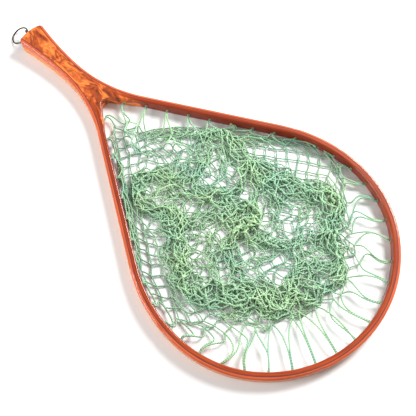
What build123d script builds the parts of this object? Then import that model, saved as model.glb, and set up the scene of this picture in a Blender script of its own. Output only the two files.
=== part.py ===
from build123d import *
import math
import os

# Landing net with a bent, laminated wooden hoop and a shaped handle, lying on its flat underside.
# Working frame: the butt of the handle is at x = 0, the hoop tip at x = length, +Z up.
# The finished pieces are moved along X so that the origin is at the bottom centre of the box.

# ---- driving dimensions (mm, degrees) ----
length = 500.0             # wood, from the butt to the hoop tip
hoop_width = 270.0         # widest outside width of the hoop
tip_flatten = 3.0          # the bend at the tip has a radius this much over half the width
tip_turn = 48.0            # half angle of that bend
leg_length = 156.42        # straight leg between the side bend and the throat bend
side_share = 0.491         # the side bend's share of the two bends' radii
neck_distance = 69.58      # from the butt to the narrowest place of the handle
neck_width = 21.0          # narrowest place of the handle
butt_width = 34.0          # widest place of the handle, at the butt
butt_crown = 3.5           # how far the butt face bows out

hoop_height = 13.0         # along Z
butt_height = 20.0         # handle thickness at the butt
outer_thickness = 3.0      # outer strip
dark_thickness = 0.9       # thin dark strip
inner_thickness = 4.1      # inner strip
outer_round = 2.4          # rounded outside edges
inner_round = 1.8          # rounded edges round the hoop opening
butt_corner_round = 4.0    # upright corners of the butt
crotch_radius = 8.0        # rounded bottom of the fork
fork_depth = 31.0          # from the ends of the fork's tails back to the crotch

twine = 1.2                # netting twine, doubled where it passes a hole
hole_play = 0.2            # a hole is wider than the doubled twine by this much
hole_height = 5.6          # hole centres above the underside
hole_pitch = 24.0          # along the outside of the hoop
hole_margin = 19.0         # the last hole is at most this far past the end of the straight leg
cord_diameter = 1.4        # lacing cord in the outside groove
cord_play = 0.1            # gap between the cord and each wall of its groove
groove_lead = 9.0          # groove runs this far past the last hole

net_height = 24.0          # top of the bunched netting
net_lift = 0.8             # its underside above the floor
net_round = 9.0            # rounded top edge of the bunch
mesh_stub = 4.0            # a mesh turns towards the bunch this far inside the hoop
touch_gap = 0.15           # between soft pieces and what they nearly touch

eye_wire = 1.6             # screw eye
eye_inside = 4.8
eye_stand_off = 1.2        # gap between the eye and the butt face
screw_diameter = 1.8
screw_length = 15.0
screw_point = 0.4          # blunt end of the screw's point
ring_outside = 23.0
ring_wire = 1.7
ring_yaw = 44.0            # the ring lies over to one side of the long axis
floor_gap = 0.05           # under the ring

# Rounded heaps of the bunched bag. Each is placed by its share of the way from the tip to the fork,
# then by its sideways place and its radius as shares of the hoop's inside half width there.
net_heaps = [(0.928, -0.185, 0.510), (0.577, 0.319, 0.520), (0.410, -0.144, 0.464), (0.659, -0.287, 0.517)]

# ---- sizes that follow from those above ----
band = outer_thickness + dark_thickness + inner_thickness
hole_diameter = 2 * twine + hole_play
groove_width = cord_diameter + 2 * cord_play
groove_depth = cord_diameter + 2 * cord_play
eye_x = -(eye_stand_off + eye_wire + eye_inside / 2)
eye_z = butt_height / 2
overrun = 8.0              # cutting tools run past the work by this much
tall = butt_height + overrun
near = 0.01                # closer than this counts as the same height


# ---- outline of the bent wood ----
def crown_bends():
    """Radius and turn of each bend from the tip to the widest place."""
    turned = math.radians(tip_turn)
    tip_radius = hoop_width / 2 + tip_flatten
    shoulder_radius = (hoop_width / 2 - tip_radius * math.sin(turned)) / (1 - math.sin(turned))
    return [(tip_radius, tip_turn), (shoulder_radius, 90.0 - tip_turn)]


def after_bend(x, y, heading, radius, turn):
    """Point and heading after a bend. A negative radius turns right."""
    side = 1 if radius > 0 else -1
    cx = x - radius * math.sin(math.radians(heading))
    cy = y + radius * math.cos(math.radians(heading))
    end = heading + side * turn
    return cx + radius * math.sin(math.radians(end)), cy - radius * math.cos(math.radians(end)), end


def leg_bends():
    """Side radius, throat radius and turn of the bends that a straight leg of its length joins."""
    x, y, heading = length, 0.0, 90.0
    for radius, turn in crown_bends():
        x, y, heading = after_bend(x, y, heading, radius, turn)
    back = x - neck_distance
    drop = y - neck_width / 2
    both = (back ** 2 + drop ** 2 - leg_length ** 2) / (2 * drop)
    turn = math.atan2(both, leg_length) - math.atan2(both - drop, back)
    return side_share * both, (1 - side_share) * both, math.degrees(turn)


def outline_moves():
    """Every move of the half outline, from the tip to just past the butt."""
    side_radius, throat_radius, leg_turn = leg_bends()
    flare = (butt_width - neck_width) / 2
    flare_radius = (neck_distance ** 2 + flare ** 2) / (2 * flare)
    flare_turn = math.degrees(math.asin((neck_distance + overrun) / flare_radius))
    crown = [("bend", radius, turn) for radius, turn in crown_bends()]
    leg = [("bend", side_radius, leg_turn), ("run", leg_length, 0), ("bend", -throat_radius, leg_turn)]
    return crown + leg + [("bend", -flare_radius, flare_turn)]


def move_length(kind, size, turn):
    return size if kind == "run" else abs(size) * math.radians(turn)


def hoop_run():
    """Distance along the outside face from the tip to the end of the straight leg."""
    return sum(move_length(*move) for move in outline_moves()[:4])


def half_edges(inset, side=1, reach=math.inf):
    """Edges of the half outline, set in from the outside face, as far as reach along that face."""
    x, y, heading = length - inset, 0.0, 90.0
    edges = []
    for kind, size, turn in outline_moves():
        span = move_length(kind, size, turn)
        share = min(1.0, reach / span)
        if kind == "run":
            x2 = x + share * size * math.cos(math.radians(heading))
            y2 = y + share * size * math.sin(math.radians(heading))
            edges.append(Line((x, side * y), (x2, side * y2)))
        else:
            radius = size - inset
            xm, ym, _ = after_bend(x, y, heading, radius, share * turn / 2)
            x2, y2, heading = after_bend(x, y, heading, radius, share * turn)
            edges.append(ThreePointArc((x, side * y), (xm, side * ym), (x2, side * y2)))
        x, y = x2, y2
        reach -= span
        if reach <= 0:
            break
    return edges, (x, side * y)


def outline_face(inset):
    """Whole outline, set in from the outside face and closed past the butt."""
    upper, upper_end = half_edges(inset)
    lower, lower_end = half_edges(inset, -1)
    return make_face(Wire(upper + [Line(upper_end, lower_end)] + lower))


def place_along(distance, inset=0.0):
    """Point and heading at a distance from the tip along the outside face."""
    x, y, heading = length - inset, 0.0, 90.0
    left = distance
    for kind, size, turn in outline_moves():
        span = move_length(kind, size, turn)
        share = min(1.0, left / span)
        if kind == "run":
            x += share * size * math.cos(math.radians(heading))
            y += share * size * math.sin(math.radians(heading))
        else:
            x, y, heading = after_bend(x, y, heading, size - inset, share * turn)
        left -= span
        if left <= 0:
            break
    return x, y, heading


def prism(face, low, high):
    return extrude(Pos(0, 0, low) * face, high - low)


# ---- wooden frame, glued up as one blank and then cut into its pieces ----
def side_profile():
    """Side view: a flat underside, and a top face that rises from the fork to the butt."""
    rise = butt_height - hoop_height
    start = place_along(hoop_run())[0]
    rise_radius = (start ** 2 + rise ** 2) / (2 * rise)

    def top(x):
        return hoop_height + rise_radius - math.sqrt(rise_radius ** 2 - (start - x) ** 2)

    back = -overrun
    far = length + overrun
    edges = [Line((back, 0), (far, 0)), Line((far, 0), (far, hoop_height)),
             Line((far, hoop_height), (start, hoop_height)),
             ThreePointArc((start, hoop_height), (start / 2, top(start / 2)), (back, top(back))),
             Line((back, top(back)), (back, 0))]
    wide = hoop_width + 2 * overrun
    return Pos(0, wide / 2, 0) * extrude(Plane.XZ * make_face(Wire(edges)), wide)


def butt_keep():
    """Plan of what is left after the butt is rounded to its crown."""
    radius = (butt_width ** 2 / 4 + butt_crown ** 2) / (2 * butt_crown)
    body_length = length - butt_crown + 2 * overrun
    body = Pos(butt_crown + body_length / 2, 0) * Rectangle(body_length, hoop_width + 2 * overrun)
    return Pos(radius, 0) * Circle(radius) + body


def fork():
    """Centre of the crotch, where its round meets a tail's face, and where that tail ends."""
    tail_x, tail_y, _ = place_along(hoop_run(), band)
    centre = tail_x - fork_depth + crotch_radius
    reach = math.hypot(tail_x - centre, tail_y)
    angle = math.atan2(tail_y, tail_x - centre) + math.acos(crotch_radius / reach)
    touch = (centre + crotch_radius * math.cos(angle), crotch_radius * math.sin(angle))
    return centre, touch, (tail_x, tail_y)


def opening_face():
    """Plan of the hoop opening, with the rounded crotch between the fork's tails."""
    centre, (touch_x, touch_y), (tail_x, tail_y) = fork()
    far = length + overrun
    wide = hoop_width / 2 + overrun
    outline = Polyline((centre, 0), (touch_x, touch_y), (tail_x, tail_y), (tail_x, wide), (far, wide),
                       (far, -wide), (tail_x, -wide), (tail_x, -tail_y), (touch_x, -touch_y), close=True)
    region = make_face(outline) + Pos(centre, 0) * Circle(crotch_radius)
    return outline_face(band) & region


def rim_edges(edges):
    """Those edges that lie on the underside or on the top face."""
    return [e for e in edges if abs(e.center().Z) < near or e.center().Z > hoop_height - near]


def wood_blank():
    blank = prism(outline_face(0) & butt_keep(), 0, tall) & side_profile()
    corners = blank.edges().filter_by(Axis.Z).sort_by(Axis.X)[:2]
    blank = fillet(corners, butt_corner_round)
    blank = fillet(rim_edges(blank.edges()), outer_round)
    hollow = prism(opening_face(), -overrun, tall)
    cut = blank - hollow
    return fillet(rim_edges(new_edges(blank, hollow, combined=cut)), inner_round)


# ---- holes, groove and cord ----
def last_hole():
    """Distance of the last hole from the tip along the outside face."""
    holes = math.floor((hoop_run() + hole_margin) / hole_pitch + 0.5)
    return (holes - 0.5) * hole_pitch


def wood_depth(x, y, heading):
    """Wood from the outside face in to the opening: the band, or more where a tail of the fork backs it."""
    _, (x1, y1), (x2, y2) = fork()
    in_x, in_y = -math.sin(math.radians(heading)), math.cos(math.radians(heading))
    along_x, along_y = x2 - x1, y2 - y1
    return max(band, ((x1 - x) * along_y - (y1 - y) * along_x) / (in_x * along_y - in_y * along_x))


def hole_places():
    """Outside-face position, outward angle and depth of each hole, the same on both sides."""
    places = []
    distance = hole_pitch / 2
    while distance < last_hole() + near:
        x, y, heading = place_along(distance)
        depth = wood_depth(x, y, heading) if distance > hoop_run() else band
        places += [(x, y, heading - 90, depth), (x, -y, 90 - heading, depth)]
        distance += hole_pitch
    return places


def net_holes():
    """Radial holes that the netting twine passes through."""
    holes = []
    for x, y, out, depth in hole_places():
        pin = Pos(overrun, 0, 0) * Rot(0, -90, 0) * Cylinder(
            hole_diameter / 2, depth + 2 * overrun, align=(Align.CENTER, Align.CENTER, Align.MIN))
        holes.append(Pos(x, y, hole_height) * Rot(0, 0, out) * pin)
    return holes


def groove():
    """Groove round the outside that keeps the lacing cord flush."""
    ring = outline_face(-overrun) - outline_face(groove_depth)
    end = place_along(last_hole() + groove_lead)[0]
    keep = Pos(end + length / 2, 0) * Rectangle(length, 2 * hoop_width)
    return prism(ring & keep, hole_height - groove_width / 2, hole_height + groove_width / 2)


def lacing_cord():
    """Cord laid in the groove, all round the hoop between the two last holes."""
    inset = cord_play + cord_diameter / 2
    upper, _ = half_edges(inset, 1, last_hole())
    lower, _ = half_edges(inset, -1, last_hole())
    path = Pos(0, 0, hole_height) * Wire(upper + lower)
    return sweep(Plane(origin=path @ 0, z_dir=path % 0) * Circle(cord_diameter / 2), path=path)


# ---- screw eye and its ring ----
def screw_eye():
    middle = (eye_inside + eye_wire) / 2
    bow = Pos(eye_x, 0, eye_z) * Rot(90, 0, 0) * Torus(middle, eye_wire / 2)
    shank_start = eye_x + middle
    point_start = screw_length - screw_diameter
    along = Pos(shank_start, 0, eye_z) * Rot(0, 90, 0)
    from_end = (Align.CENTER, Align.CENTER, Align.MIN)
    shank = along * Cylinder(screw_diameter / 2, point_start - shank_start, align=from_end)
    point = along * Pos(0, 0, point_start - shank_start) * Cone(
        screw_diameter / 2, screw_point / 2, screw_diameter, align=from_end)
    return bow + shank + point


def split_ring():
    """Ring threaded through the eye, leaning down until it touches the floor."""
    radius = (ring_outside - ring_wire) / 2
    drop = math.asin((eye_z - ring_wire / 2 - floor_gap) / (2 * radius))
    lie = Pos(eye_x, 0, eye_z) * Rot(0, 0, 180 + ring_yaw) * Rot(0, math.degrees(drop), 0)
    return lie * Pos(radius, 0, 0) * Torus(radius, ring_wire / 2)


# ---- netting ----
def heap_places():
    """Centre and radius of each heap of the bunched bag."""
    places = []
    for along, sideways, size in net_heaps:
        x, half_width, _ = place_along(along * hoop_run(), band)
        places.append((x, sideways * half_width, size * half_width))
    return places


def net_plan(margin=0.0):
    """Plan of the bunched bag: a hull round its heaps."""
    return make_hull([edge for x, y, r in heap_places() for edge in (Pos(x, y) * Circle(r + margin)).edges()])


def net_bunch():
    """Outer shape of the bunched bag, well inside the hoop opening."""
    bunch = prism(net_plan(), net_lift, net_height)
    top = bunch.edges().filter_by(lambda e: e.center().Z > net_height - near)
    return fillet(top, net_round)


def rod(start, end, radius):
    """Round bar between two points, with a ball on its far end."""
    run = Vector(end) - Vector(start)
    bar = Plane(origin=start, z_dir=run) * Cylinder(
        radius, run.length, align=(Align.CENTER, Align.CENTER, Align.MIN))
    return bar + Pos(*end) * Sphere(radius)


def head_mesh(x, y, out, depth, stop):
    """Doubled twine from the lacing cord, in through its hole and across to the bunch."""
    nx, ny = math.cos(math.radians(out)), math.sin(math.radians(out))
    start_inset = groove_depth + touch_gap
    turn_inset = depth + mesh_stub
    start = (x - start_inset * nx, y - start_inset * ny, hole_height)
    bend = (x - turn_inset * nx, y - turn_inset * ny, hole_height)
    (x1, y1, _), _, (x2, y2, _), _ = heap_places()
    share = min(1.0, max(0.0, (bend[0] - x1) / (x2 - x1)))
    aim = (x1 + share * (x2 - x1), y1 + share * (y2 - y1), hole_height)
    strand = rod(start, bend, twine) + rod(bend, aim, twine)
    place = Vector(*start)
    return min((strand - stop).solids(), key=lambda s: (s.center() - place).length)


# ---- build, centre and write ----
def build():
    frame = wood_blank() - net_holes() - groove()
    screw_hole = Pos(0, 0, eye_z) * Rot(0, 90, 0) * Cylinder(screw_diameter / 2, 2 * screw_length)
    inside_outer = prism(outline_face(outer_thickness), -overrun, tall)
    inside_dark = prism(outline_face(outer_thickness + dark_thickness), -overrun, tall)
    inside_band = prism(outline_face(band), -overrun, tall)
    stop = prism(net_plan(touch_gap), 0, net_height)
    return {
        "outer_strip": frame - inside_outer,
        "dark_strip": (frame & inside_outer) - inside_dark,
        "inner_strip": (frame & inside_dark) - inside_band,
        "handle_core": (frame & inside_band) - screw_hole,
        "screw_eye": screw_eye(),
        "ring": split_ring(),
        "lacing_cord": lacing_cord(),
        "net_bunch": net_bunch(),
        "head_meshes": Compound(children=[head_mesh(*place, stop) for place in hole_places()]),
    }


def main():
    pieces = build()
    ring_end = pieces["ring"].bounding_box().min.X
    centre_x = (ring_end + length) / 2
    os.makedirs("parts", exist_ok=True)
    for name, piece in pieces.items():
        export_step(Pos(-centre_x, 0, 0) * piece, f"parts/{name}.step")
    print("origin is at x =", round(centre_x, 3), "mm from the butt")


main()
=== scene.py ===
import math

import bmesh
import bpy
import numpy as np
from bpy.props import FloatProperty, FloatVectorProperty, IntProperty, PointerProperty
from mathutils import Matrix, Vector
from mathutils.bvhtree import BVHTree


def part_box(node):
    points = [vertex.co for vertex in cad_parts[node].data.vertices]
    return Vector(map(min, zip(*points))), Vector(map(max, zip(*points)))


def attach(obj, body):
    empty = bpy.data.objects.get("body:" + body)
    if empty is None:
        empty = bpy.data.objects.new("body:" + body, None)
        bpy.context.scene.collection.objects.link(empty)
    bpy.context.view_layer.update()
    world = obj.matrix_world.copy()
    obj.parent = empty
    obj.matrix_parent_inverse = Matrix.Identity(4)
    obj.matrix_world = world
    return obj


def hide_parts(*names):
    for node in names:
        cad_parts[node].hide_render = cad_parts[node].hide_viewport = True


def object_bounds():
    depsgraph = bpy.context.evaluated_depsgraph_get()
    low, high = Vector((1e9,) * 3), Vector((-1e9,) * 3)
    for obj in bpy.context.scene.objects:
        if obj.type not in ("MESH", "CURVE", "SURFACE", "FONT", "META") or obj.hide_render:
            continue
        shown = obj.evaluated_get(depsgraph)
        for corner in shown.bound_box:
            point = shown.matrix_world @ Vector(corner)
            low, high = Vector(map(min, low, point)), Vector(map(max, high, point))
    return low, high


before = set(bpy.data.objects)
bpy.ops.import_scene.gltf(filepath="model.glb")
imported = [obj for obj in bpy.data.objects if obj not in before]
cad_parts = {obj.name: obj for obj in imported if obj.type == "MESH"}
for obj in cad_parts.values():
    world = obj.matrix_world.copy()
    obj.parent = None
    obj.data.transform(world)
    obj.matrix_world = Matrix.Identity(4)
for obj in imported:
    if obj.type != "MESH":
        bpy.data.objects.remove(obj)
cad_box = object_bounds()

bl_info = {
    "name": "Landing net",
    "version": (1, 0, 0),
    "blender": (4, 5, 0),
    "location": "3D View > Sidebar > Landing net",
    "description": "Lacquered wood, brass fittings and knotted netting for a hand landing net",
    "category": "Object",
}

BODY = "net"

# Lengths below are in metres.
FLOOR_REACH = 4.0                           # half the floor's width
LAMP_TARGET = (0.05, 0.0, 0.0)
KEY_PLACE = (0.15, 1.05, 0.78)
KEY_WIDTH = 0.70
FILL_PLACE = (-0.40, -0.85, 0.42)
FILL_WIDTH = 0.60
FILL_SHARE = 0.26                           # power of the fill lamp, as a share of the key lamp's
CAMERA_PLACE = (0.2456, -0.2031, 0.6186)
CAMERA_TARGET = (0.0572, -0.0095)           # at the height of the net's underside

HOLE_RIM_REACH = 0.0028                     # the outer end of a first mesh is at most this wide
HOLE_SEARCH = 0.030                         # how far in from the outside the inside face is looked for
SEARCH_LIFT = 0.003                         # the search runs this far over the hole, through whole wood
BAND_GUESS = 0.008                          # width of the band where the search finds nothing

SIDE_RADIUS = 0.160                         # bend between the hoop's round end and its leg, for the grain
LEG_HOLE = -6                               # the sixth from the hole that faces the handle most
BAND_BLEND = 0.004                          # half the length over which one stretch's grain meets the next's


# ---- what the user may change ----
def colour(name, value, description):
    """A colour setting."""
    return FloatVectorProperty(name=name, description=description, default=value, subtype="COLOR", size=3,
                               min=0.0, max=1.0)


def size(name, value, description):
    """A length setting, in metres."""
    return FloatProperty(name=name, description=description, default=value, unit="LENGTH", precision=5)


class WoodSettings(bpy.types.PropertyGroup):
    """Colours of the lacquered wood."""
    outer: colour("Outer strip", (0.74, 0.150, 0.048), "Salmon-orange strip round the outside")
    outer_deep: colour("Outer strip grain", (0.44, 0.066, 0.018), "Darker grain of the outer strip")
    dark: colour("Dark strip", (0.050, 0.014, 0.014), "Thin dark strip between the two light ones")
    inner: colour("Inner strip", (0.52, 0.084, 0.010), "Red-orange strip round the opening")
    inner_deep: colour("Inner strip grain", (0.20, 0.018, 0.004), "Darker grain of the inner strip")
    burl: colour("Burl", (0.82, 0.21, 0.042), "Bright orange of the handle's burl")
    burl_mid: colour("Burl figure", (0.42, 0.075, 0.016), "Swirls of the burl")
    burl_deep: colour("Burl eyes", (0.110, 0.018, 0.006), "Dark eyes and lines of the burl")
    # Painted light: the lower half of the outer strip is drawn yellower, for the light that falls on the
    # outer wall.
    painted_light_colour: colour("Foot", (0.86, 0.34, 0.06), "Yellower lower half of the outer strip")
    lacquer_roughness: FloatProperty(name="Lacquer roughness", description="Roughness of the gloss lacquer",
                                     default=0.07, min=0.0, max=1.0, subtype="FACTOR")


class NettingSettings(bpy.types.PropertyGroup):
    """Sizes and colours of the twine and the netting."""
    twine: size("Twine", 0.0016, "Diameter of the netting twine")
    head_strand: size("Head strand", 0.047, "Twine from a hole to the first knot")
    bar: size("Mesh bar", 0.0118, "Twine from one knot to the next")
    rows: IntProperty(name="Rows", description="Rows of knots from the hoop to the bottom of the bag",
                      default=44, min=8, max=80)
    seed: IntProperty(name="Seed", description="Fixes how the bag happens to fall", default=7, min=0)
    knot: size("Knot", 0.0028, "Width of a knot")
    hole: size("Hole", 0.0026, "Width of a hole in the hoop")
    # The twine's dye is one green: the pale colour is a painted highlight on the crowns of the plies, and the
    # deep colour is painted shade in the lines between them.
    pale: colour("Pale twine", (0.70, 0.86, 0.60), "Lit ply of the green twine")
    deep: colour("Deep twine", (0.065, 0.17, 0.085), "Lines between the plies")
    lacing: colour("Lacing", (0.34, 0.060, 0.012), "Cord in the outside groove")


class FittingSettings(bpy.types.PropertyGroup):
    """Finish of the screw eye and the ring."""
    # The brass colour is partly the real antiqued brass and partly painted shade, drawn darker because the
    # eye sits in shadow.
    brass: colour("Brass", (0.115, 0.085, 0.034), "Worn brass")
    tarnish: colour("Tarnish", (0.018, 0.014, 0.007), "Dark tarnish on the brass")


class StageSettings(bpy.types.PropertyGroup):
    """Floor, light and camera."""
    floor: colour("Floor", (0.93, 0.93, 0.925), "Plain pale floor")
    key_energy: FloatProperty(name="Key light", description="Power of the large lamp", default=36.0,
                              unit="POWER")
    sky: FloatProperty(name="Sky", description="Strength of the even light from all round", default=0.34,
                       min=0.0)
    lens: FloatProperty(name="Lens", description="Focal length of the camera", default=56.25, unit="CAMERA")


# ---- shader helpers ----
class Shader:
    """A material under construction, with short calls for the nodes that the finishes need."""

    def __init__(self, name):
        self.material = bpy.data.materials.new(name)
        self.material.use_nodes = True
        self.tree = self.material.node_tree
        self.surface = self.tree.nodes["Principled BSDF"]

    def node(self, kind, links=None, **values):
        made = self.tree.nodes.new(kind)
        for key, value in values.items():
            setattr(made, key, value)
        for key, value in (links or {}).items():
            socket = made.inputs[key]
            if isinstance(value, bpy.types.NodeSocket):
                self.tree.links.new(value, socket)
            else:
                socket.default_value = value
        return made

    def math(self, operation, *values):
        return self.node("ShaderNodeMath", dict(enumerate(values)), operation=operation).outputs[0]

    def noise(self, vector, scale, detail=4.0, roughness=0.55, distortion=0.0):
        made = self.node("ShaderNodeTexNoise", {"Vector": vector, "Scale": scale, "Detail": detail,
                                                "Roughness": roughness, "Distortion": distortion})
        return made.outputs["Fac"]

    def ramp(self, factor, *stops):
        made = self.node("ShaderNodeValToRGB", {"Fac": factor})
        marks = made.color_ramp.elements
        while len(marks) < len(stops):
            marks.new(0.5)
        for mark, (place, value) in zip(marks, stops):
            mark.position = place
            mark.color = (*value, 1.0) if hasattr(value, "__len__") else (value, value, value, 1.0)
        return made.outputs["Color"]

    def mix(self, factor, a, b, blend_type="MIX"):
        made = self.node("ShaderNodeMix", data_type="RGBA", blend_type=blend_type)
        for socket, value in zip((made.inputs[0], made.inputs[6], made.inputs[7]), (factor, a, b)):
            if isinstance(value, bpy.types.NodeSocket):
                self.tree.links.new(value, socket)
            else:
                socket.default_value = (*value, 1.0) if hasattr(value, "__len__") else value
        return made.outputs[2]

    def vector(self, x, y, z):
        return self.node("ShaderNodeCombineXYZ", {0: x, 1: y, 2: z}).outputs[0]

    def bump(self, height, distance, strength=1.0):
        made = self.node("ShaderNodeBump", {"Height": height, "Distance": distance, "Strength": strength})
        self.tree.links.new(made.outputs[0], self.surface.inputs["Normal"])

    def set(self, **values):
        for key, value in values.items():
            socket = self.surface.inputs[key.replace("_", " ")]
            if isinstance(value, bpy.types.NodeSocket):
                self.tree.links.new(value, socket)
            else:
                socket.default_value = value


# ---- places read from the frame ----
def hoop_middle():
    """Centre of the hoop's round end, and half the hoop's width."""
    _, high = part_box("outer_strip")
    return Vector((high.x - high.y, 0.0, 0.0)), high.y


def hoop_top():
    """Height of the hoop away from the handle."""
    middle, _ = hoop_middle()
    return max(v.co.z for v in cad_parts["outer_strip"].data.vertices if v.co.x > middle.x)


def band_width():
    """Width of the hoop's band, from its outside to the opening."""
    middle, half = hoop_middle()
    inner = min((v.co - middle).xy.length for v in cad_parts["inner_strip"].data.vertices
                if v.co.x > middle.x)
    return half - inner


def wood_tree():
    """The wood as one tree for finding its inside face."""
    made = bmesh.new()
    for node in ("inner_strip", "handle_core"):
        made.from_mesh(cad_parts[node].data)
    return BVHTree.FromBMesh(made)


def loose_parts(node):
    """The node's separate solids, each a list of faces as vertex positions."""
    made = bmesh.new()
    made.from_mesh(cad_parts[node].data)
    bmesh.ops.remove_doubles(made, verts=made.verts, dist=1e-6)
    made.verts.index_update()
    label = list(range(len(made.verts)))

    def root(k):
        while label[k] != k:
            k = label[k]
        return k

    for edge in made.edges:
        a, b = sorted(root(vertex.index) for vertex in edge.verts)
        label[b] = a
    parts = {}
    for face in made.faces:
        corners = [vertex.co.copy() for vertex in face.verts]
        parts.setdefault(root(face.verts[0].index), []).append(corners)
    return list(parts.values())


class Hole:
    """One netting hole: its outer end, the direction out of the hoop, and where it opens inside."""

    def __init__(self, faces, wood):
        middle, _ = hoop_middle()
        corners = [co for face in faces for co in face]
        farthest = max(corners, key=lambda co: (co - middle).length)
        cap = [f for f in faces if all((co - farthest).length < HOLE_RIM_REACH for co in f)]
        normal = sum(((f[1] - f[0]).cross(f[2] - f[0]) for f in cap), Vector())
        self.out = Vector((normal.x, normal.y, 0.0)).normalized()
        rim = [co for face in cap for co in face]
        self.outer = Vector([(min(co[k] for co in rim) + max(co[k] for co in rim)) / 2 for k in range(3)])
        start = self.outer - self.out * HOLE_SEARCH + Vector((0.0, 0.0, SEARCH_LIFT))
        hit, _, _, distance = wood.ray_cast(start, self.out, HOLE_SEARCH)
        self.inner = self.outer - self.out * (HOLE_SEARCH - distance if hit else BAND_GUESS)
        self.side = Vector((-self.out.y, self.out.x, 0.0))


def net_holes():
    """Every netting hole in order round the hoop, from one side of the fork to the other."""
    middle, _ = hoop_middle()
    wood = wood_tree()
    holes = [Hole(faces, wood) for faces in loose_parts("head_meshes")]
    return sorted(holes, key=lambda h: math.atan2(h.outer.y, h.outer.x - middle.x))


# ---- how the bag falls ----
# How far in from the hoop the first knots lie, in metres, by share of the way round from the fork along
# the near side to the tip and back by the far side.
FIRST_KNOTS = [(0.00, 0.012), (0.06, 0.004), (0.22, 0.006), (0.28, 0.018), (0.36, 0.038), (0.44, 0.040),
               (0.60, 0.036), (0.66, 0.026), (0.70, 0.009), (0.77, 0.004), (0.83, 0.013), (0.88, 0.028),
               (0.95, 0.033), (1.00, 0.024)]
HEAP_HEIGHT = 0.020             # painted shade: the twine is drawn darker and bluer under this height
BAG_SWAY = 0.014                # how far the hanging bag leans to each side before it drops
BAG_BOTTOM = (-0.22, 0.06)      # where the bottom of the bag hangs, as shares of half the hoop's width
HANG_SPACING = 0.62             # height from one row to the next as the bag hangs, as a share of a bar
ALONG_TWINE = ((1, 0.84), (2, 0.70), (4, 0.48))     # least distance of knots 1, 2 and 4 bars apart, as shares

FALL = 0.0003                   # how much faster a knot falls with each step
MOTION_KEPT = 0.90              # share of a knot's motion that lasts to the next step
MOTION_LIMIT = 0.004            # farthest that a knot goes on by itself in a step
FLOOR_GRIP = 0.35               # share of the sideways motion that lasts near the floor
STIFFNESS = 0.35                # how much of a fold that is too tight is opened in one pass
EASING = 0.36                   # the pull on a knot is divided by its links times this
LAYER_WIDTH = 0.0075            # knots nearer than this in plan rest on each other
LAYER_HEIGHT = 0.0021           # height of one layer of netting
LAYER_LIFT = 0.30               # share of the missing height that is made up at once


def smooth_waves(random, count, sizes):
    """A soft random change over the net: a function of the places round it and down it, both as shares."""
    waves = [(k, random.uniform(0.5, 5.0), random.uniform(0.0, 2 * math.pi), random.uniform(*sizes))
             for k in range(1, count + 1)]

    def change(around, down):
        return sum(swing * np.sin(2 * math.pi * (across * around + along * down) + start)
                   for across, along, start, swing in waves)
    return change


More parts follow.
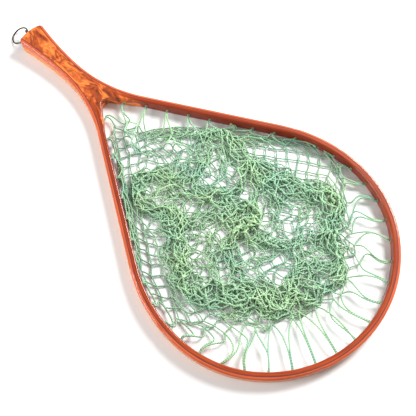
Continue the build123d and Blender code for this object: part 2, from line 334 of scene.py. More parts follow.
class FallenBag:
    """The knots of a bag that has dropped inside the hoop, and the twine drawn through them."""

    def __init__(self, holes, settings):
        self.holes = holes
        self.settings = settings
        self.random = np.random.default_rng(settings.seed)
        self.rows, self.count = settings.rows, len(holes)
        self.radius = settings.twine / 2
        self.inner = np.round([hole.inner for hole in holes], 5)
        self.out = np.round([hole.out for hole in holes], 4)
        self.around, self.down = np.meshgrid((np.arange(self.count) + 0.5) / self.count,
                                             np.linspace(0.0, 1.0, self.rows))
        self.around = self.around + self.down * 0.5 * (self.rows - 1) / self.count
        self.place = self.hang()

    def first_row(self):
        """Places of the first knots, one between each hole and the next."""
        between = (self.inner + np.roll(self.inner, -1, axis=0)) / 2
        out = self.out + np.roll(self.out, -1, axis=0)
        out /= np.linalg.norm(out, axis=1)[:, None]
        share = (np.arange(self.count) + 0.5) / self.count
        row = between - out * np.interp(share, *zip(*FIRST_KNOTS))[:, None]
        row += self.random.normal(0.0, 0.0036, row.shape)
        row -= out * smooth_waves(self.random, 9, (0.0010, 0.0026))(share, 0.0)[:, None]
        row[:, 2] = self.settings.knot * self.random.uniform(0.7, 1.6, self.count)
        return row

    def hang(self):
        """Knots of the bag held up over the floor, with soft folds, and drawn together at the bottom."""
        middle, half = hoop_middle()
        first = self.first_row()
        bottom = np.array([*BAG_BOTTOM, 0.0]) * half + np.array(middle)
        at = self.around * self.count - 0.5
        low = np.floor(at).astype(int) % self.count
        part = (at % 1.0)[..., None]
        base = first[low] * (1 - part) + first[(low + 1) % self.count] * part
        reach = (1.0 - 0.45 * self.down - 0.49 * self.down ** 4)[..., None]
        place = bottom + (base - bottom) * reach
        sideways, onward = (smooth_waves(self.random, 8, (0.004, 0.010)) for _ in range(2))
        loose = np.minimum(1.0, self.down * 6)
        sway = BAG_SWAY * np.sin(2 * math.pi * self.down)
        place[..., 0] += (sideways(self.around, self.down) - sway) * loose
        place[..., 1] += (onward(self.around, self.down) + 0.6 * sway) * loose
        place += self.random.normal(0.0, 0.0015, place.shape) * loose[..., None]
        place[..., 2] = base[..., 2] + self.down * self.rows * self.settings.bar * HANG_SPACING
        return place

    def links(self):
        """Pairs of knots with the least and the greatest distance that they keep."""
        bar = self.settings.bar
        number = np.arange(self.rows * self.count).reshape(self.rows, self.count)
        opening = smooth_waves(self.random, 6, (0.10, 0.26))(self.around, self.down)
        opening = np.clip(0.95 + opening, 0.30, 1.50) * np.interp(self.down, (0.55, 1.0), (bar, 0.12 * bar))
        last = number[-1]
        # Across a mesh, down a mesh, and across the bottom, which is drawn together.
        groups = [
            (number, np.roll(number, -1, axis=1), opening, 1.9 * bar),
            (number[:-2], np.roll(number[2:], 1, axis=1), 0.50 * bar, 2.0 * bar),
            (last, np.roll(last, self.count // 2), 0.0, 0.5 * bar),
        ]
        # Along the twine, which goes down the bag both ways.
        for bars, straight in ALONG_TWINE:
            for way in (0, 1):
                end = np.roll(number[bars:], way * bars, axis=1)
                least = straight * bars * bar * self.random.uniform(0.80, 1.12, end.shape)
                groups.append((number[:-bars], end, least, bars * bar))
        columns = [np.broadcast_arrays(*group) for group in groups]
        return [np.concatenate([group[k].ravel() for group in columns]) for k in range(4)]

    def settle(self, steps=280, passes=14):
        """Lets the knots drop, fold and come to rest in layers."""
        place = self.place.reshape(-1, 3)
        number = len(place)
        free = np.ones(number)
        free[:self.count] = 0.0
        first, second, least, greatest = self.links()
        share = np.maximum(free[first] + free[second], 1e-9)
        ends = np.bincount(first, minlength=number) + np.bincount(second, minlength=number)
        uses = ends[:, None] * EASING
        rest = self.settings.knot * 0.66
        before = place.copy()
        for step in range(steps):
            drift = (place - before) * MOTION_KEPT
            speed = np.maximum(np.linalg.norm(drift, axis=1), 1e-9)
            drift *= np.minimum(1.0, MOTION_LIMIT / speed)[:, None]
            drift[place[:, 2] < 3 * rest, :2] *= FLOOR_GRIP
            before = place.copy()
            place = place + drift * free[:, None]
            place[:, 2] -= FALL * free
            for _ in range(passes):
                span = place[second] - place[first]
                distance = np.maximum(np.linalg.norm(span, axis=1), 1e-9)
                off = np.maximum(distance - greatest, 0.0) + STIFFNESS * np.minimum(distance - least, 0.0)
                pull = span * (off / distance / share)[:, None]
                change = np.stack([np.bincount(first, pull[:, k] * free[first], number)
                                   - np.bincount(second, pull[:, k] * free[second], number)
                                   for k in range(3)], axis=1)
                place = place + change / uses
                place[:, 2] = np.maximum(place[:, 2], rest)
            if step % 2 == 0:
                place = self.keep_apart(place, free)
            place = self.keep_inside(place, free)
        self.place = place.reshape(self.rows, self.count, 3)

    def keep_apart(self, place, free):
        """Where the bag lies on itself, each layer rests on the one under it."""
        flat = place[:, :2].astype(np.float32)
        size = (flat ** 2).sum(axis=1)
        gap = np.maximum(size[:, None] + size[None] - 2 * flat @ flat.T, 0.0)
        upper, lower = np.nonzero(np.triu(gap < LAYER_WIDTH ** 2, 1))
        climb = place[upper, 2] - place[lower, 2]
        wanted = LAYER_HEIGHT * np.sqrt(1.0 - gap[upper, lower] / LAYER_WIDTH ** 2)
        way = np.where(climb >= 0, 1.0, -1.0)
        lift = LAYER_LIFT * way * np.maximum(wanted - np.abs(climb), 0.0)
        place[:, 2] += free * (np.bincount(upper, lift, len(place)) - np.bincount(lower, lift, len(place)))
        return place

    def keep_inside(self, place, free):
        """Knots stay inside the hoop."""
        plan = place[:, None, :2] - self.inner[None, :, :2]
        nearest = np.argmin((plan ** 2).sum(axis=2), axis=1)
        out = self.out[nearest, :2]
        depth = (plan[np.arange(len(place)), nearest] * out).sum(axis=1) + self.settings.knot
        place[:, :2] -= out * (np.maximum(depth, 0.0) * free)[:, None]
        return place

    def bow(self, start, end, length, sign):
        """Middle of a slack strand, which bows to one side."""
        span = end - start
        chord = max(float(np.linalg.norm(span)), 1e-6)
        rise = math.sqrt(0.375 * chord * max(length - chord, 0.0))
        side = np.array([-span[1], span[0], 0.0]) / max(float(np.hypot(span[0], span[1])), 1e-6)
        return (start + end) / 2 + side * rise * sign + np.array([0.0, 0.0, 0.25 * rise])

    def strands(self, top, bottom):
        """Twine through the knots from one row to another, both ways across the meshes."""
        lines = []
        for way in (0, 1):
            for i in range(self.count):
                knots = [self.place[row, (i - way * row) % self.count] for row in range(top, bottom + 1)]
                line = [knots[0]]
                for start, end in zip(knots, knots[1:]):
                    line += [self.bow(start, end, self.settings.bar, self.random.uniform(-0.75, 0.75)), end]
                lines.append(self.above_floor(np.array(line)))
        return lines

    def head_strands(self):
        """From each hole two strands, slack and nearly side by side, to the knots on either side."""
        lines = []
        lean = smooth_waves(self.random, 4, (0.25, 0.5))
        parts = np.linspace(0.0, 1.0, 8)[1:, None]
        for i, hole in enumerate(self.holes):
            out, side = np.array(hole.out), np.array(hole.side)
            sign = float(np.clip(lean(i / self.count, 0.0) + self.random.normal(0.0, 0.15), -1.0, 1.0))
            turn = self.random.uniform(-1.0, 1.0)
            middle = (self.place[0, i] + self.place[0, i - 1]) / 2
            for hand, knot in ((1, self.place[0, i]), (-1, self.place[0, i - 1])):
                across = side * hand * (self.settings.hole / 2 - self.radius)
                start = np.array(hole.inner) + across
                chord = float(np.linalg.norm(knot - start))
                slack = max(self.settings.head_strand - chord, 0.0)
                rise = math.sqrt(0.375 * chord * slack) * self.random.uniform(0.75, 1.0)
                curve = start + (middle - start) * parts + (knot - middle) * parts ** 2.4
                curve = curve - out * (0.10 * chord * np.sin(math.pi * parts))
                sway = sign * np.sin(math.pi * parts ** 1.2) + 0.45 * turn * np.sin(2 * math.pi * parts)
                curve = curve + side * (rise * sway)
                curve[:, 2] += 0.10 * chord * np.sin(math.pi * parts[:, 0]) * (1 - parts[:, 0])
                line = np.vstack([np.array(hole.outer) + across, start, start - out * 0.0015, curve])
                lines.append(self.above_floor(line))
        return lines

    def above_floor(self, line):
        """The same line, clear of the floor."""
        line[:, 2] = np.maximum(line[:, 2], self.radius * 1.5)
        return line


# ---- netting and cords as meshes ----
def socket_id(tree, name):
    """Identifier of a tree's named input."""
    return next(s.identifier for s in tree.interface.items_tree if s.name == name and s.in_out == "INPUT")


class Nodes:
    """A geometry tree under construction, with named inputs."""

    def __init__(self, name):
        self.tree = bpy.data.node_groups.new(name, "GeometryNodeTree")
        self.tree.interface.new_socket("Geometry", in_out="INPUT", socket_type="NodeSocketGeometry")
        self.tree.interface.new_socket("Geometry", in_out="OUTPUT", socket_type="NodeSocketGeometry")
        self.entry = None

    def input(self, name, kind, value=None):
        socket = self.tree.interface.new_socket(name, in_out="INPUT", socket_type=kind)
        if value is not None:
            socket.default_value = value

    def start(self):
        self.entry = self.tree.nodes.new("NodeGroupInput")
        return self.entry.outputs

    def node(self, kind, links=None, **values):
        made = self.tree.nodes.new(kind)
        for key, value in values.items():
            setattr(made, key, value)
        for key, value in (links or {}).items():
            socket = made.inputs[key]
            if isinstance(value, bpy.types.NodeSocket):
                self.tree.links.new(value, socket)
            else:
                socket.default_value = value
        return made

    def finish(self, geometry, material):
        realised = self.node("GeometryNodeRealizeInstances", {"Geometry": geometry})
        painted = self.node("GeometryNodeSetMaterial",
                            {"Geometry": realised.outputs[0], "Material": material})
        leave = self.tree.nodes.new("NodeGroupOutput")
        self.tree.links.new(painted.outputs[0], leave.inputs[0])
        return self.tree


def twine_tree():
    """Tubes along every edge, and a small wrapped knot on every marked point."""
    made = Nodes("Knotted twine")
    made.input("Radius", "NodeSocketFloat", 0.0007)
    made.input("Knot", "NodeSocketFloat", 0.0026)
    made.input("Sides", "NodeSocketInt", 5)
    made.input("Smoothness", "NodeSocketInt", 2)
    made.input("Seed", "NodeSocketInt", 1)
    made.input("Material", "NodeSocketMaterial")
    given = made.start()
    marked = made.node("GeometryNodeInputNamedAttribute", {"Name": "knot"}, data_type="BOOLEAN")
    split = made.node("GeometryNodeSeparateGeometry",
                      {"Geometry": given["Geometry"], "Selection": marked.outputs["Attribute"]},
                      domain="POINT")
    curve = made.node("GeometryNodeMeshToCurve", {"Mesh": split.outputs["Inverted"]})
    smooth = made.node("GeometryNodeCurveSplineType", {"Curve": curve.outputs[0]}, spline_type="CATMULL_ROM")
    finer = made.node("GeometryNodeSetSplineResolution",
                      {"Geometry": smooth.outputs[0], "Resolution": given["Smoothness"]})
    parameter = made.node("GeometryNodeSplineParameter")
    along = made.node("GeometryNodeCaptureAttribute", {"Geometry": finer.outputs[0]})
    along.capture_items.new("FLOAT", "along")
    made.tree.links.new(parameter.outputs["Length"], along.inputs[1])
    circle = made.node("GeometryNodeCurvePrimitiveCircle",
                       {"Resolution": given["Sides"], "Radius": given["Radius"]})
    spot = made.node("GeometryNodeInputPosition")
    unit = made.node("ShaderNodeVectorMath", {0: spot.outputs[0]}, operation="NORMALIZE")
    around = made.node("GeometryNodeCaptureAttribute", {"Geometry": circle.outputs[0]})
    around.capture_items.new("VECTOR", "around")
    made.tree.links.new(unit.outputs[0], around.inputs[1])
    tube = made.node("GeometryNodeCurveToMesh",
                     {"Curve": along.outputs[0], "Profile Curve": around.outputs[0], "Fill Caps": True})
    parts = made.node("ShaderNodeSeparateXYZ", {0: around.outputs[1]})
    lay = made.node("ShaderNodeCombineXYZ",
                    {0: parts.outputs[0], 1: parts.outputs[1], 2: along.outputs[1]})
    stored = made.node("GeometryNodeStoreNamedAttribute",
                       {"Geometry": tube.outputs[0], "Name": "lay", "Value": lay.outputs[0]},
                       data_type="FLOAT_VECTOR", domain="POINT")
    # A knot is a turn of twine drawn tight round the crossing.
    bight = made.node("ShaderNodeMath", {0: given["Knot"], 1: 0.27}, operation="MULTIPLY")
    wrap = made.node("ShaderNodeMath", {0: given["Knot"], 1: 0.25}, operation="MULTIPLY")
    turn = made.node("GeometryNodeCurvePrimitiveCircle", {"Resolution": 7, "Radius": bight.outputs[0]})
    section = made.node("GeometryNodeCurvePrimitiveCircle", {"Resolution": 5, "Radius": wrap.outputs[0]})
    knot = made.node("GeometryNodeCurveToMesh",
                     {"Curve": turn.outputs[0], "Profile Curve": section.outputs[0]})
    angle = made.node("FunctionNodeRandomValue", {"Min": (0.0, 0.0, 0.0), "Max": (6.283, 6.283, 6.283),
                                                  "Seed": given["Seed"]}, data_type="FLOAT_VECTOR")
    squash = made.node("FunctionNodeRandomValue", {"Min": (0.85, 0.85, 1.0), "Max": (1.25, 1.05, 1.2),
                                                   "Seed": given["Seed"]}, data_type="FLOAT_VECTOR")
    placed = made.node("GeometryNodeInstanceOnPoints",
                       {"Points": split.outputs["Selection"], "Instance": knot.outputs[0],
                        "Rotation": angle.outputs[0], "Scale": squash.outputs[0]})
    both = made.node("GeometryNodeJoinGeometry")
    made.tree.links.new(stored.outputs[0], both.inputs[0])
    made.tree.links.new(placed.outputs[0], both.inputs[0])
    shaded = made.node("GeometryNodeSetShadeSmooth", {"Geometry": both.outputs[0]})
    return made.finish(shaded.outputs[0], given["Material"])


def cord_tree():
    """Two plies laid round each other along every edge."""
    made = Nodes("Laid cord")
    made.input("Ply radius", "NodeSocketFloat", 0.00035)
    made.input("Turn length", "NodeSocketFloat", 0.0045)
    made.input("Step", "NodeSocketFloat", 0.0006)
    made.input("Material", "NodeSocketMaterial")
    given = made.start()
    curve = made.node("GeometryNodeMeshToCurve", {"Mesh": given["Geometry"]})
    smooth = made.node("GeometryNodeCurveSplineType", {"Curve": curve.outputs[0]}, spline_type="CATMULL_ROM")
    even = made.node("GeometryNodeResampleCurve", {"Curve": smooth.outputs[0], "Length": given["Step"]},
                     mode="LENGTH")
    parameter = made.node("GeometryNodeSplineParameter")
    turns = made.node("ShaderNodeMath", {0: parameter.outputs["Length"], 1: given["Turn length"]},
                      operation="DIVIDE")
    angle = made.node("ShaderNodeMath", {0: turns.outputs[0], 1: 2 * math.pi}, operation="MULTIPLY")
    twisted = made.node("GeometryNodeSetCurveTilt", {"Curve": even.outputs[0], "Tilt": angle.outputs[0]})
    ply = made.node("GeometryNodeCurvePrimitiveCircle", {"Resolution": 6, "Radius": given["Ply radius"]})
    other_way = made.node("ShaderNodeMath", {0: given["Ply radius"], 1: -1.0}, operation="MULTIPLY")
    shifts = [made.node("ShaderNodeCombineXYZ", {0: given["Ply radius"]}),
              made.node("ShaderNodeCombineXYZ", {0: other_way.outputs[0]})]
    both = made.node("GeometryNodeJoinGeometry")
    for shift in shifts:
        moved = made.node("GeometryNodeTransform", {"Geometry": ply.outputs[0],
                                                    "Translation": shift.outputs[0]})
        made.tree.links.new(moved.outputs[0], both.inputs[0])
    tube = made.node("GeometryNodeCurveToMesh",
                     {"Curve": twisted.outputs[0], "Profile Curve": both.outputs[0], "Fill Caps": True})
    shaded = made.node("GeometryNodeSetShadeSmooth", {"Geometry": tube.outputs[0]})
    return made.finish(shaded.outputs[0], given["Material"])


def plain_mesh(name, lines, knots, tree, inputs):
    """Runs a tree over lines and knots, and keeps the result as a plain mesh."""
    mesh = bpy.data.meshes.new(name)
    places = [tuple(point) for line in lines for point in line]
    starts = np.cumsum([0] + [len(line) for line in lines])
    edges = [(k, k + 1) for a, b in zip(starts, starts[1:]) for k in range(a, b - 1)]
    marks = [False] * len(places) + [True] * len(knots)
    mesh.from_pydata(places + [tuple(knot) for knot in knots], edges, [])
    mesh.attributes.new("knot", "BOOLEAN", "POINT").data.foreach_set("value", marks)
    rough = bpy.data.objects.new(name + "_lines", mesh)
    bpy.context.scene.collection.objects.link(rough)
    modifier = rough.modifiers.new("Make", "NODES")
    modifier.node_group = tree
    for key, value in inputs.items():
        modifier[socket_id(tree, key)] = value
    ready = rough.evaluated_get(bpy.context.evaluated_depsgraph_get())
    made = bpy.data.meshes.new_from_object(ready)
    made.name = name
    rough.modifiers.remove(modifier)
    bpy.data.objects.remove(rough)
    piece = bpy.data.objects.new(name, made)
    bpy.context.scene.collection.objects.link(piece)
    return piece


# ---- finishes ----
def band_place(shader):
    """Distance in from the outside of the hoop, and distance along it, for grain that follows the bend."""
    middle, half = hoop_middle()
    holes = net_holes()
    lean = sorted(abs(math.atan2(h.out.y, h.out.x)) for h in holes)[LEG_HOLE] - math.pi / 2
    spot = shader.node("ShaderNodeTexCoord").outputs["Object"]
    split = shader.node("ShaderNodeSeparateXYZ", {0: spot}).outputs
    x, z = split[0], split[2]
    y = shader.math("ABSOLUTE", split[1])
    ahead = shader.math("SUBTRACT", x, middle.x)
    crown = shader.math("SQRT", shader.math("ADD", shader.math("MULTIPLY", ahead, ahead),
                                            shader.math("MULTIPLY", y, y)))
    crown = shader.math("SUBTRACT", half, crown)
    low = shader.math("ADD", y, SIDE_RADIUS - half)
    side = shader.math("SQRT", shader.math("ADD", shader.math("MULTIPLY", ahead, ahead),
                                           shader.math("MULTIPLY", low, low)))
    side = shader.math("SUBTRACT", SIDE_RADIUS, side)
    leg = shader.math("SUBTRACT", SIDE_RADIUS, shader.math(
        "SUBTRACT", shader.math("MULTIPLY", low, math.cos(lean)),
        shader.math("MULTIPLY", ahead, math.sin(lean))))
    bend_end = middle.x - SIDE_RADIUS * math.sin(lean)
    to_side, to_leg = (
        shader.node("ShaderNodeMapRange", {0: x, 1: place + BAND_BLEND, 2: place - BAND_BLEND}).outputs[0]
        for place in (middle.x, bend_end))
    blend = shader.math("ADD", shader.math("MULTIPLY", crown, shader.math("SUBTRACT", 1.0, to_side)),
                        shader.math("MULTIPLY", side, to_side))
    inset = shader.math("ADD", shader.math("MULTIPLY", blend, shader.math("SUBTRACT", 1.0, to_leg)),
                        shader.math("MULTIPLY", leg, to_leg))
    along = shader.math("MULTIPLY", shader.math("ARCTAN2", split[1], ahead), half)
    return spot, inset, along, z


def lacquer(shader, settings):
    """Clear gloss over the wood."""
    shader.set(Roughness=0.45, Specular_IOR_Level=0.15, Coat_Weight=0.65, Coat_IOR=1.5,
               Coat_Roughness=settings.lacquer_roughness)


def strip_wood(name, light, deep, settings, painted_light=0.0, burl=0.0):
    """Bent strip: fine grain along it, slow changes of tone, painted light that makes the lower half
    yellower, painted shade on the inner wall, and burl along the handle."""
    shader = Shader(name)
    spot, inset, along, z = band_place(shader)
    lay = shader.vector(shader.math("MULTIPLY", inset, 1500.0), shader.math("MULTIPLY", along, 26.0),
                        shader.math("MULTIPLY", z, 1100.0))
    grain = shader.noise(lay, 1.0, 5.0, 0.65, 0.3)
    tone = shader.noise(spot, 22.0, 3.0, 0.5)
    base = shader.mix(shader.ramp(grain, (0.32, 0.0), (0.72, 1.0)), deep, light)
    shade = shader.ramp(tone, (0.30, (0.78, 0.72, 0.70)), (0.70, (1.0, 1.0, 1.0)))
    base = shader.mix(0.75, base, shade, "MULTIPLY")
    top = hoop_top()
    # Painted light: lower down, the outer strip is mixed towards a yellower colour, for the light on its
    # lower half.
    painted_light_mask = shader.node("ShaderNodeMapRange", {0: z, 1: 0.95 * top, 2: 0.45 * top}).outputs[0]
    base = shader.mix(shader.math("MULTIPLY", painted_light_mask, painted_light), base, settings.painted_light_colour)
    # Painted shade: near the opening the inner wall is darkened towards the deep grain colour.
    inside = shader.node("ShaderNodeMapRange", {0: inset, 1: band_width() - 0.0011, 2: band_width() - 0.0003})
    base = shader.mix(shader.math("MULTIPLY", inside.outputs[0], 0.75), base, deep)
    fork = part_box("handle_core")[1].x
    x = shader.node("ShaderNodeSeparateXYZ", {0: spot}).outputs[0]
    on_handle = shader.node("ShaderNodeMapRange", {0: x, 1: fork - 0.010, 2: fork - 0.055}).outputs[0]
    figured = burl_figure(shader, spot, settings)
    shader.set(Base_Color=shader.mix(shader.math("MULTIPLY", on_handle, burl), base, figured))
    lacquer(shader, settings)
    shader.bump(grain, 0.00004, 0.5)
    return shader.material


def burl_figure(shader, spot, settings):
    """Colour of the burl: bright swirls along the handle, broken by dark eyes and fine dark lines."""
    stretched = shader.node("ShaderNodeMapping", {"Vector": spot, "Scale": (0.42, 1.0, 1.0)}).outputs[0]
    warp = shader.node("ShaderNodeTexNoise", {"Vector": stretched, "Scale": 38.0, "Detail": 3.0})
    swirl = shader.mix(0.022, stretched, warp.outputs["Color"], "LINEAR_LIGHT")
    figure = shader.noise(swirl, 80.0, 6.0, 0.62, 1.4)
    wave = {"Vector": swirl, "Scale": 45.0, "Distortion": 9.0, "Detail": 3.0, "Detail Scale": 1.6}
    rings = shader.node("ShaderNodeTexWave", wave, wave_type="RINGS").outputs["Fac"]
    eyes = shader.node("ShaderNodeTexVoronoi", {"Vector": swirl, "Scale": 120.0, "Randomness": 1.0},
                       feature="SMOOTH_F1").outputs["Distance"]
    body = shader.ramp(figure, (0.33, settings.burl_deep), (0.47, settings.burl_mid), (0.58, settings.burl))
    lined = shader.mix(0.45, body, shader.ramp(rings, (0.0, 0.35), (0.35, 1.0)), "MULTIPLY")
    dots = shader.ramp(eyes, (0.10, 0.15), (0.28, 1.0))
    patches = shader.ramp(shader.noise(spot, 60.0, 2.0), (0.45, 0.0), (0.62, 0.8))
    return shader.mix(patches, lined, shader.mix(1.0, lined, dots, "MULTIPLY"))


def burl_wood(settings):
    """The handle's burl."""
    shader = Shader("burl_wood")
    spot = shader.node("ShaderNodeTexCoord").outputs["Object"]
    figure = burl_figure(shader, spot, settings)
    shader.set(Base_Color=figure)
    lacquer(shader, settings)
    shader.bump(figure, 0.00003, 0.4)
    return shader.material


def dark_wood(settings):
    """Thin dark strip with faint grain."""
    shader = Shader("dark_wood")
    spot = shader.node("ShaderNodeTexCoord").outputs["Object"]
    grain = shader.noise(spot, 900.0, 3.0)
    pale = [min(1.0, c * 2.4 + 0.01) for c in settings.dark]
    shader.set(Base_Color=shader.mix(grain, settings.dark, pale))
    lacquer(shader, settings)
    return shader.material


def aged_brass(settings):
    """Brass with dark tarnish, rubbed bright in places."""
    shader = Shader("aged_brass")
    spot = shader.node("ShaderNodeTexCoord").outputs["Object"]
    cloud = shader.noise(spot, 420.0, 5.0, 0.6)
    fine = shader.noise(spot, 2600.0, 3.0, 0.6)
    worn = shader.ramp(cloud, (0.38, 0.0), (0.66, 1.0))
    # The base colour is darkened partly as painted shade; the tarnish is real wear.
    shader.set(Base_Color=shader.mix(worn, settings.tarnish, settings.brass), Metallic=0.92,
               Roughness=shader.ramp(fine, (0.3, 0.26), (0.7, 0.46)))
    shader.bump(fine, 0.00003, 0.5)
    return shader.material


def laid_twine(name, pale, deep, turn_length):
    """Twine whose plies wind round it, with a painted highlight on the crowns, painted shade in the lines
    between them, and painted shade that darkens the twine low in the heap.
    """
    shader = Shader(name)
    lay = shader.node("ShaderNodeAttribute", attribute_name="lay").outputs["Vector"]
    split = shader.node("ShaderNodeSeparateXYZ", {0: lay}).outputs
    angle = shader.math("ARCTAN2", split[1], split[0])
    turns = shader.math("MULTIPLY", split[2], 2 * math.pi / turn_length)
    wave = shader.math("COSINE", shader.math("MULTIPLY", shader.math("ADD", angle, turns), 2.0))
    plies = shader.math("ADD", shader.math("MULTIPLY", wave, 0.5), 0.5)
    spot = shader.node("ShaderNodeTexCoord").outputs["Object"]
    fluff = shader.noise(spot, 1800.0, 3.0, 0.6)
    tone = shader.noise(spot, 16.0, 3.0, 0.6)
    # The ply pattern follows the real lay of the twine; its pale and deep colours are painted highlight and
    # painted shade.
    base = shader.mix(shader.ramp(plies, (0.0, 0.15), (0.45, 1.0)), deep, pale)
    shade = shader.ramp(tone, (0.36, (0.70, 0.90, 0.98)), (0.62, (1.0, 1.0, 0.86)))
    # Painted shade: twine low in the heap is drawn darker and bluer, for the shade under the layers above it.
    height = shader.math("DIVIDE", shader.node("ShaderNodeSeparateXYZ", {0: spot}).outputs[2], HEAP_HEIGHT)
    under = shader.ramp(height, (0.0, (0.20, 0.36, 0.30)), (0.45, (0.58, 0.74, 0.66)), (1.0, (1.0, 1.0, 1.0)))
    base = shader.mix(0.8, base, shade, "MULTIPLY")
    shader.set(Base_Color=shader.mix(0.85, base, under, "MULTIPLY"), Roughness=0.62, Sheen_Weight=0.25,
               Sheen_Roughness=0.4)
    shader.bump(shader.math("ADD", plies, shader.math("MULTIPLY", fluff, 0.35)), 0.00018, 0.7)
    return shader.material


def plain_cord(name, pale, deep):
    """Fine cord with a soft, uneven colour."""
    shader = Shader(name)
    spot = shader.node("ShaderNodeTexCoord").outputs["Object"]
    fluff = shader.noise(spot, 2200.0, 4.0, 0.6)
    shader.set(Base_Color=shader.mix(fluff, deep, pale), Roughness=0.6, Sheen_Weight=0.2)
    shader.bump(fluff, 0.00006, 0.6)
    return shader.material


# ---- operators, one for each piece or group ----
class LANDINGNET_OT_stage(bpy.types.Operator):
    """Lay the floor, hang the lamps and set the camera"""
    bl_idname = "landing_net.stage"
    bl_label = "Stage"

    def execute(self, context):
        settings = context.scene.landing_net_stage
        floor_mesh = bpy.data.meshes.new("floor")
        corners = [(x * FLOOR_REACH, y * FLOOR_REACH, 0) for x, y in ((-1, -1), (1, -1), (1, 1), (-1, 1))]
        floor_mesh.from_pydata(corners, [], [(0, 1, 2, 3)])
        floor = bpy.data.objects.new("floor", floor_mesh)
        context.scene.collection.objects.link(floor)
        shader = Shader("floor")
        shader.set(Base_Color=(*settings.floor, 1.0), Roughness=0.9, Specular_IOR_Level=0.1)
        floor_mesh.materials.append(shader.material)

        world = bpy.data.worlds.new("Soft white room")
        context.scene.world = world
        world.use_nodes = True
        world.node_tree.nodes["Background"].inputs["Color"].default_value = (1.0, 1.0, 1.0, 1.0)
        world.node_tree.nodes["Background"].inputs["Strength"].default_value = settings.sky
        self.lamp(context, "key", KEY_PLACE, KEY_WIDTH, settings.key_energy)
        self.lamp(context, "fill", FILL_PLACE, FILL_WIDTH, settings.key_energy * FILL_SHARE)

        lens = bpy.data.cameras.new("camera")
        lens.lens = settings.lens
        camera = bpy.data.objects.new("camera", lens)
        context.scene.collection.objects.link(camera)
        low, _ = cad_box
        camera.location = Vector(CAMERA_PLACE)
        target = Vector((*CAMERA_TARGET, low.z))
        camera.rotation_mode = "QUATERNION"
        camera.rotation_quaternion = (target - camera.location).to_track_quat("-Z", "Y")
        lens.clip_start = 0.01
        context.scene.camera = camera
        context.scene.view_settings.view_transform = "Standard"
        return {"FINISHED"}

    def lamp(self, context, name, place, width, energy):
        light = bpy.data.lights.new(name, "AREA")
        light.shape = "DISK"
        light.size = width
        light.energy = energy
        made = bpy.data.objects.new(name, light)
        context.scene.collection.objects.link(made)
        made.location = place
        made.rotation_mode = "QUATERNION"
        made.rotation_quaternion = (Vector(LAMP_TARGET) - Vector(place)).to_track_quat("-Z", "Y")


def repaint(node, material):
    """Gives a carried-over node its finish."""
    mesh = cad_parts[node].data
    mesh.materials.clear()
    mesh.materials.append(material)
    for polygon in mesh.polygons:
        polygon.material_index = 0


class LANDINGNET_OT_wood(bpy.types.Operator):
    """Stain and lacquer the hoop's strips and the handle"""
    bl_idname = "landing_net.wood"
    bl_label = "Wood"

    def execute(self, context):
        settings = context.scene.landing_net_wood
        # The outer strip gets the painted light on its lower half.
        outer = strip_wood("outer_wood", settings.outer, settings.outer_deep, settings, painted_light=0.6)
        repaint("outer_strip", outer)
        inner = strip_wood("inner_wood", settings.inner, settings.inner_deep, settings, burl=0.9)
        repaint("inner_strip", inner)
        repaint("dark_strip", dark_wood(settings))
        repaint("handle_core", burl_wood(settings))
        return {"FINISHED"}


class LANDINGNET_OT_fittings(bpy.types.Operator):
    """Give the screw eye and the ring their aged brass"""
    bl_idname = "landing_net.fittings"
    bl_label = "Screw eye and ring"

    def execute(self, context):
        brass = aged_brass(context.scene.landing_net_fittings)
        repaint("screw_eye", brass)
        repaint("ring", brass)
        return {"FINISHED"}


class LANDINGNET_OT_lacing(bpy.types.Operator):
    """Lay the two-ply lacing cord in the groove round the outside"""
    bl_idname = "landing_net.lacing"
    bl_label = "Lacing cord"

    def execute(self, context):
        settings = context.scene.landing_net_netting
        low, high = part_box("lacing_cord")
        radius = (high.z - low.z) / 2
        _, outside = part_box("outer_strip")
        inset = outside.y - high.y + radius
        holes = net_holes()
        hole_inset = outside.y - max(hole.outer.y for hole in holes)
        line = [np.array(hole.outer + hole.out * (hole_inset - inset)) for hole in holes]
        deep = [c * 0.45 for c in settings.lacing]
        piece = plain_mesh("lacing", [line], [], cord_tree(),
                           {"Ply radius": radius / 2, "Turn length": radius * 6.5, "Step": radius * 0.8,
                            "Material": plain_cord("lacing_twine", settings.lacing, deep)})
        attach(piece, BODY)
        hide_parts("lacing_cord")
        return {"FINISHED"}


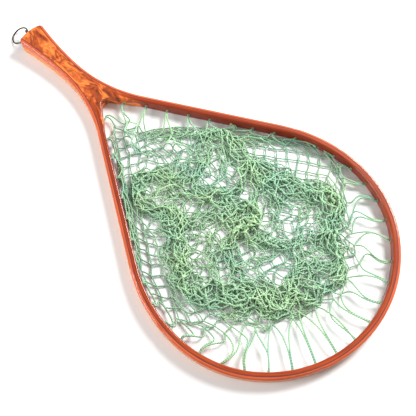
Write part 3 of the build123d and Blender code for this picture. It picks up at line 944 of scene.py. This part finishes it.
class LANDINGNET_OT_netting(bpy.types.Operator):
    """Knot the bag, let it fall inside the hoop, and tie it to the holes"""
    bl_idname = "landing_net.netting"
    bl_label = "Netting"

    def execute(self, context):
        settings = context.scene.landing_net_netting
        bag = FallenBag(net_holes(), settings)
        bag.settle()
        material = laid_twine("green_twine", settings.pale, settings.deep, settings.twine * 3.2)
        tree = twine_tree()
        inputs = {"Knot": settings.knot, "Sides": 5, "Smoothness": 3,
                  "Seed": settings.seed, "Material": material}
        groups = {"head_loops": (bag.head_strands(), [])}
        ends = [0, settings.rows // 3, 2 * settings.rows // 3, settings.rows - 1]
        for name, top, bottom in zip(("upper", "middle", "lower"), ends, ends[1:]):
            knots = bag.place[top + (top > 0):bottom + 1].reshape(-1, 3)
            groups["netting_" + name] = (bag.strands(top, bottom), knots)
        for name, (lines, knots) in groups.items():
            plump = 1.15 if name == "head_loops" else 1.0
            piece = plain_mesh(name, lines, knots, tree, {**inputs, "Radius": bag.radius * plump})
            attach(piece, BODY)
            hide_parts("net_bunch", "head_meshes")
            print(name, len(piece.data.polygons), "faces")
        return {"FINISHED"}


class LANDINGNET_PT_panel(bpy.types.Panel):
    """Everything that makes the landing net"""
    bl_idname = "LANDINGNET_PT_panel"
    bl_label = "Landing net"
    bl_space_type = "VIEW_3D"
    bl_region_type = "UI"
    bl_category = "Landing net"

    def draw(self, context):
        for operator in OPERATORS:
            self.layout.operator(operator.bl_idname)
        for name, settings in SETTINGS.items():
            box = self.layout.box()
            group = getattr(context.scene, name)
            for key in settings.__annotations__:
                box.prop(group, key)


SETTINGS = {
    "landing_net_wood": WoodSettings,
    "landing_net_netting": NettingSettings,
    "landing_net_fittings": FittingSettings,
    "landing_net_stage": StageSettings,
}
OPERATORS = [LANDINGNET_OT_stage, LANDINGNET_OT_wood, LANDINGNET_OT_fittings, LANDINGNET_OT_lacing,
             LANDINGNET_OT_netting]
CLASSES = [*SETTINGS.values(), *OPERATORS, LANDINGNET_PT_panel]


def register():
    for made in CLASSES:
        bpy.utils.register_class(made)
    for name, settings in SETTINGS.items():
        setattr(bpy.types.Scene, name, PointerProperty(type=settings))


def unregister():
    for name in SETTINGS:
        delattr(bpy.types.Scene, name)
    for made in reversed(CLASSES):
        bpy.utils.unregister_class(made)


def main():
    register()
    bpy.ops.landing_net.stage()
    bpy.ops.landing_net.wood()
    bpy.ops.landing_net.fittings()
    bpy.ops.landing_net.lacing()
    bpy.ops.landing_net.netting()


if __name__ == "__main__":
    main()
